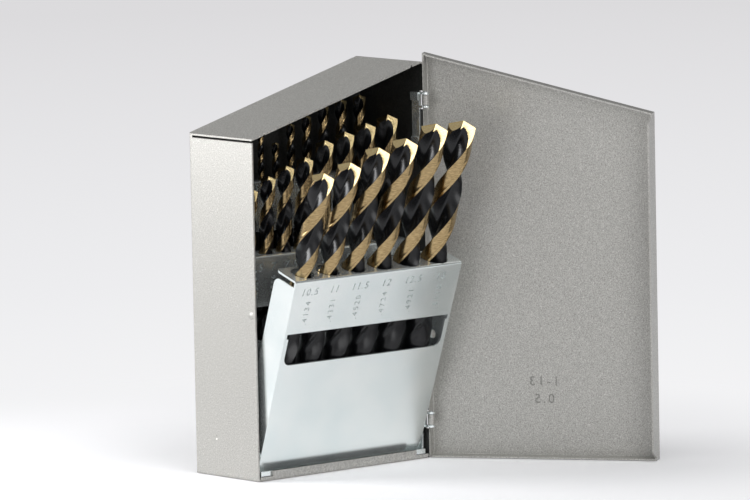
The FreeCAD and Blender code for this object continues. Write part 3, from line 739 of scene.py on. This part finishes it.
def grind_point(obj, top, radius):
    """Grinds the two flanks of the point and splits its web; the ground facets' normals are returned."""
    shape = bpy.context.scene.drill_shape
    slope = 1 / math.tan(shape.point / 2)
    normals = []
    for lip in (shape.lip, shape.lip + math.pi):
        along_lip = bearing(lip) - UP * slope
        along_back = bearing(lip - math.pi / 2) - UP * math.tan(shape.relief)
        normal = along_back.cross(along_lip).normalized()
        if normal.z < 0:
            normal = -normal
        cut_away(obj, UP * top, normal)
        normals.append(normal)
    if 2 * radius < shape.split_from:
        return normals
    for lip in (shape.lip, shape.lip + math.pi):
        downhill = bearing(lip - shape.split_turn)
        normal = downhill * math.sin(shape.split_slope) + UP * math.cos(shape.split_slope)
        split_web(obj, top, radius, normal, downhill, bearing(lip - math.pi / 2))
        normals.append(normal)
    return normals


def split_web(obj, top, radius, normal, downhill, side):
    """Takes off one heel with a wheel shaped like a wedge, up to the other lip."""
    bpy.ops.mesh.primitive_cube_add(size=WHEEL_SHARE * radius, location=(0, 0, top))
    wheel = bpy.context.object
    bpy.ops.object.transform_apply(location=True, rotation=False, scale=False)
    cut_away(wheel, UP * top + downhill * WEB_SHARE * radius, -normal)
    cut_away(wheel, side * WEB_SHARE * radius, -side)
    mend_normals(wheel)
    grind = obj.modifiers.new("split point", "BOOLEAN")
    grind.operation = "DIFFERENCE"
    grind.solver = "EXACT"
    grind.object = wheel
    apply_modifier(obj, grind)
    bpy.data.objects.remove(wheel)


def paint_point(obj, height, normals, points):
    """Gives the ground facets of the point their own finish, a lighter straw tone that is painted highlight.
    """
    obj.data.materials.append(points)
    for face in obj.data.polygons:
        if face.center.z > height and max(face.normal.dot(normal) for normal in normals) > SAME_FACET:
            face.material_index = POINT_FINISH


def twist_drill(node, lands, flutes, points):
    """One drill, modelled upright and then laid along its own axis."""
    size = drill_size(node)
    foot, axis, length = drill_axis(node)
    flute = FLUTE_LENGTHS[size] * MM
    radius = size / 2 * MM
    start = length - flute
    obj = fluted_blank("twist_" + node, size, length, flute)
    paint_lands(obj, lands, flutes, start + flute * bpy.context.scene.drill_shape.gold_from)
    run_out(obj, radius, start, min(RUN_OUT_DIAMETERS * size * MM, RUN_OUT_SHARE * flute))
    close_top(obj, length)
    add_shank(obj, radius, start)
    mend_normals(obj)
    normals = grind_point(obj, length, radius)
    mend_normals(obj)
    paint_point(obj, length - POINT_SHARE * radius, normals, points)
    only(obj)
    bpy.ops.object.shade_smooth_by_angle(angle=FLUTE_ANGLE)
    turn = UP.rotation_difference(axis).to_matrix().to_4x4()
    obj.data.transform(Matrix.Translation(foot) @ turn)
    give(obj, BODY_OF[node], "black_and_gold_steel", node)


class DRILL_CASE_OT_twist_drills(bpy.types.Operator):
    """Model every twist drill with its flutes, lands, ground point and shank"""
    bl_idname = "drill_case.twist_drills"
    bl_label = "Twist Drills"

    def execute(self, context):
        lands = oxide_steel("straw tempered land, cylindrically ground", "86704D", "C6AE82",
                            roughness=0.22, metallic=1.0, line=0.6 * MM, relief=0.06)
        flutes = oxide_steel("black oxide flute, ground from the solid", "0B0B0D", "17181B",
                             roughness=0.26, metallic=0.3, line=0.5 * MM, relief=0.12)
        # The point facets' straw tone is lighter than the lands' as a painted highlight
        points = oxide_steel("straw tempered point facet, flat ground", "CDB27C", "E8D6A6",
                             roughness=0.24, metallic=1.0, line=0.3 * MM, relief=0.02)
        for node in DRILLS:
            twist_drill(node, lands, flutes, points)
        return {"FINISHED"}


# Stage, in metres

TABLE_WIDTH = 14.0
# The table lies this far below the case, so that their faces don't meet
TABLE_DROP = 0.02 * MM
# Distances from the case: the lamps light the paper up to the first, it has its own tone from the second on,
# and its last tone at the third
PAPER_LIT, PAPER_TONED, PAPER_FAR = 0.13, 0.32, 2.4
PAPER_SHADES = ((0.0, linear("F7F7F8")), (0.3, linear("EDEDEF")), (1.0, linear("DCDBDD")))
# The way to the room's bright side, and how far a direction agrees with it where the room is dim and bright
ROOM_BRIGHT_WAY = (-0.85, 0.1, 0.35)
ROOM_SPAN = (-0.7, 0.9)
# Softboxes: place and width; each has its power among the stage's properties
LAMPS = {
    "key": ((-0.52, 0.46, 0.33), 0.38),
    "side": ((-1.5, -0.45, 0.55), 0.9),
    "top": ((-0.15, -0.8, 1.35), 0.8),
    "front": ((-0.25, -1.45, 0.38), 0.7),
}
LAMPS_AIM = Vector((0.0, -0.02, 0.09))
# The photograph's view: from the front left, a little above and far away, with a long lens
VIEW_TARGET = Vector((0.053, -0.02275, 0.085))
VIEW_TURN, VIEW_RISE, VIEW_ROLL = math.radians(-41.01096), math.radians(6.77983), math.radians(-1.12298)
VIEW_DISTANCE, VIEW_RIGHT, VIEW_UP = 3.83196, -0.024298, 0.013673
VIEW_NEAR, VIEW_FAR = 0.1, 50.0
LENS_MM, SENSOR_MM = 392.6647, 36.0


def white_paper(light):
    """Matt white paper: no gloss, a faint fibre, the case's shadow on it, and an even tone farther off."""
    material, tree, shader, place = new_material("matt white paper sweep")
    fibres = add_node(tree, "ShaderNodeTexNoise", {"Scale": per_metre(0.6 * MM)}, {"Vector": place})
    colour = ramp(tree, fibres.outputs["Fac"], ((0.3, linear("F3F3F5")), (0.7, linear("F6F6F8"))))
    tree.links.new(colour, shader.inputs["Base Color"])
    shader.inputs["Roughness"].default_value = 0.9
    below = add_node(tree, "ShaderNodeEmission", {"Color": rgba(WHITE), "Strength": light.table_glow})
    lit = add_node(tree, "ShaderNodeAddShader", {}, {0: shader.outputs[0], 1: below.outputs[0]})
    far = add_node(tree, "ShaderNodeVectorMath", {}, {0: place}, operation="LENGTH").outputs["Value"]
    depth = add_node(tree, "ShaderNodeMapRange", {"From Min": 0.0, "From Max": PAPER_FAR}, {"Value": far})
    shade = ramp(tree, depth.outputs["Result"], PAPER_SHADES)
    toned = add_node(tree, "ShaderNodeEmission", {}, {"Color": shade})
    ray = add_node(tree, "ShaderNodeLightPath")
    seen = add_node(tree, "ShaderNodeMath", {},
                    {0: ray.outputs["Is Camera Ray"], 1: ray.outputs["Is Glossy Ray"]}, operation="MAXIMUM")
    away = add_node(tree, "ShaderNodeMapRange", {"From Min": PAPER_LIT, "From Max": PAPER_TONED},
                    {"Value": far}, interpolation_type="SMOOTHSTEP")
    share = add_node(tree, "ShaderNodeMath", {}, {0: seen.outputs[0], 1: away.outputs["Result"]},
                     operation="MULTIPLY")
    mix = add_node(tree, "ShaderNodeMixShader", {},
                   {0: share.outputs[0], 1: lit.outputs[0], 2: toned.outputs[0]})
    tree.links.new(mix.outputs[0], tree.nodes["Material Output"].inputs["Surface"])
    return material


class DRILL_CASE_OT_stage(bpy.types.Operator):
    """Lay the pale table, hang the soft lamps and place the camera"""
    bl_idname = "drill_case.stage"
    bl_label = "Stage"

    def execute(self, context):
        light = context.scene.stage_light
        self.table(light)
        self.room(light)
        for name, (place, width) in LAMPS.items():
            self.lamp(name, place, width, getattr(light, name + "_power"))
        self.camera()
        context.scene.view_settings.view_transform = "Standard"
        return {"FINISHED"}

    def table(self, light):
        """A plane of paper, wide enough to have no edge in view."""
        deselect()
        bpy.ops.mesh.primitive_plane_add(size=TABLE_WIDTH, location=(0, 0, -TABLE_DROP))
        floor = bpy.context.object
        floor.name = "table"
        use_material(floor, white_paper(light))

    def room(self, light):
        """A soft room, bright on the left and above, and dim on the right."""
        world = bpy.data.worlds.new("studio")
        bpy.context.scene.world = world
        world.use_nodes = True
        tree = world.node_tree
        tree.nodes.clear()
        way = add_node(tree, "ShaderNodeTexCoord").outputs["Generated"]
        toward = add_node(tree, "ShaderNodeVectorMath", {1: ROOM_BRIGHT_WAY}, {0: way},
                          operation="DOT_PRODUCT")
        level = add_node(tree, "ShaderNodeMapRange",
                         {"From Min": ROOM_SPAN[0], "From Max": ROOM_SPAN[1], "To Min": light.dim_side,
                          "To Max": light.bright_side},
                         {"Value": toward.outputs["Value"]}, interpolation_type="SMOOTHSTEP")
        glow = add_node(tree, "ShaderNodeBackground", {"Color": rgba(linear("F7F8FA"))},
                        {"Strength": level.outputs["Result"]})
        add_node(tree, "ShaderNodeOutputWorld", {}, {"Surface": glow.outputs[0]})

    def lamp(self, name, place, width, power):
        """A square softbox that looks at the case."""
        data = bpy.data.lights.new(name, "AREA")
        data.shape = "SQUARE"
        data.size = width
        data.energy = power
        lamp = bpy.data.objects.new(name, data)
        bpy.context.scene.collection.objects.link(lamp)
        lamp.location = place
        lamp.rotation_euler = (LAMPS_AIM - Vector(place)).to_track_quat("-Z", "Y").to_euler()

    def camera(self):
        """The camera looks back along its own z axis, shifted in its picture plane and rolled."""
        level = math.cos(VIEW_RISE)
        back = Vector((math.sin(VIEW_TURN) * level, -math.cos(VIEW_TURN) * level, math.sin(VIEW_RISE)))
        right = (-back).cross(UP).normalized()
        up = right.cross(-back)
        place = VIEW_TARGET + back * VIEW_DISTANCE + right * VIEW_RIGHT + up * VIEW_UP
        rolled_right = right * math.cos(VIEW_ROLL) + up * math.sin(VIEW_ROLL)
        rolled_up = up * math.cos(VIEW_ROLL) - right * math.sin(VIEW_ROLL)
        data = bpy.data.cameras.new("photograph")
        data.lens = LENS_MM
        data.sensor_width = SENSOR_MM
        data.clip_start = VIEW_NEAR
        data.clip_end = VIEW_FAR
        camera = bpy.data.objects.new("photograph", data)
        bpy.context.scene.collection.objects.link(camera)
        turned = Matrix((rolled_right, rolled_up, back)).transposed().to_4x4()
        camera.matrix_world = Matrix.Translation(place) @ turned
        bpy.context.scene.camera = camera


# Add-on

class DRILL_CASE_PT_panel(bpy.types.Panel):
    """Lists the steps that dress the drill bit case"""
    bl_label = "Drill Bit Case"
    bl_idname = "DRILL_CASE_PT_panel"
    bl_space_type = "VIEW_3D"
    bl_region_type = "UI"
    bl_category = "Drill Case"

    def draw(self, context):
        for name, group in GROUPS.items():
            box = self.layout.box()
            for setting in group.__annotations__:
                box.prop(getattr(context.scene, name), setting)
        for operator in OPERATORS:
            self.layout.operator(operator.bl_idname)


OPERATORS = (DRILL_CASE_OT_painted_shells, DRILL_CASE_OT_plated_racks, DRILL_CASE_OT_pins_and_rivets,
             DRILL_CASE_OT_twist_drills, DRILL_CASE_OT_stage)
GROUPS = {"case_finish": CaseFinish, "drill_shape": DrillShape, "stage_light": StageLight}


def register():
    for cls in (*GROUPS.values(), *OPERATORS, DRILL_CASE_PT_panel):
        bpy.utils.register_class(cls)
    for name, group in GROUPS.items():
        setattr(bpy.types.Scene, name, bpy.props.PointerProperty(type=group))


def unregister():
    for name in GROUPS:
        delattr(bpy.types.Scene, name)
    for cls in (DRILL_CASE_PT_panel, *reversed(OPERATORS), *reversed(list(GROUPS.values()))):
        bpy.utils.unregister_class(cls)


def main():
    register()
    bpy.ops.drill_case.painted_shells()
    bpy.ops.drill_case.plated_racks()
    bpy.ops.drill_case.pins_and_rivets()
    bpy.ops.drill_case.twist_drills()
    bpy.ops.drill_case.stage()


if __name__ == "__main__":
    main()
